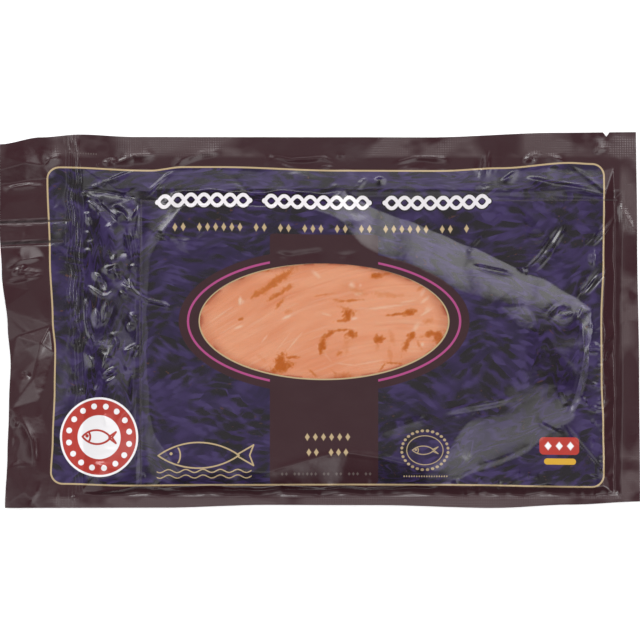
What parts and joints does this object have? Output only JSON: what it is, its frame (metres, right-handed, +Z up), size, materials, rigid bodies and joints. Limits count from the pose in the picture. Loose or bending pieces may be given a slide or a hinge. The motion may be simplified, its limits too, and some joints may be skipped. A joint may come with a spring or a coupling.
{
  "type": "vacuum pack of smoked salmon",
  "caption": "Flat vacuum pack of sliced smoked salmon: a dark printed plastic pouch with welded edges, drawn tight over the fish, with a clear oval window.",
  "frame": {"origin": "on the table that the pack lies on, under the middle of its outline", "axes": "+X along the pack's length, +Y across it towards its top edge, +Z up out of the printed front"},
  "size_m": [0.23, 0.135, 0.0071],
  "materials": {
    "printed_film": "glossy printed laminate film, wrinkled",
    "clear_film": "clear glossy film",
    "salmon": "moist oily fish under film"
  },
  "bodies": {
    "root": {"pouch": "printed_film", "salmon": "salmon"}
  },
  "joints": []
}
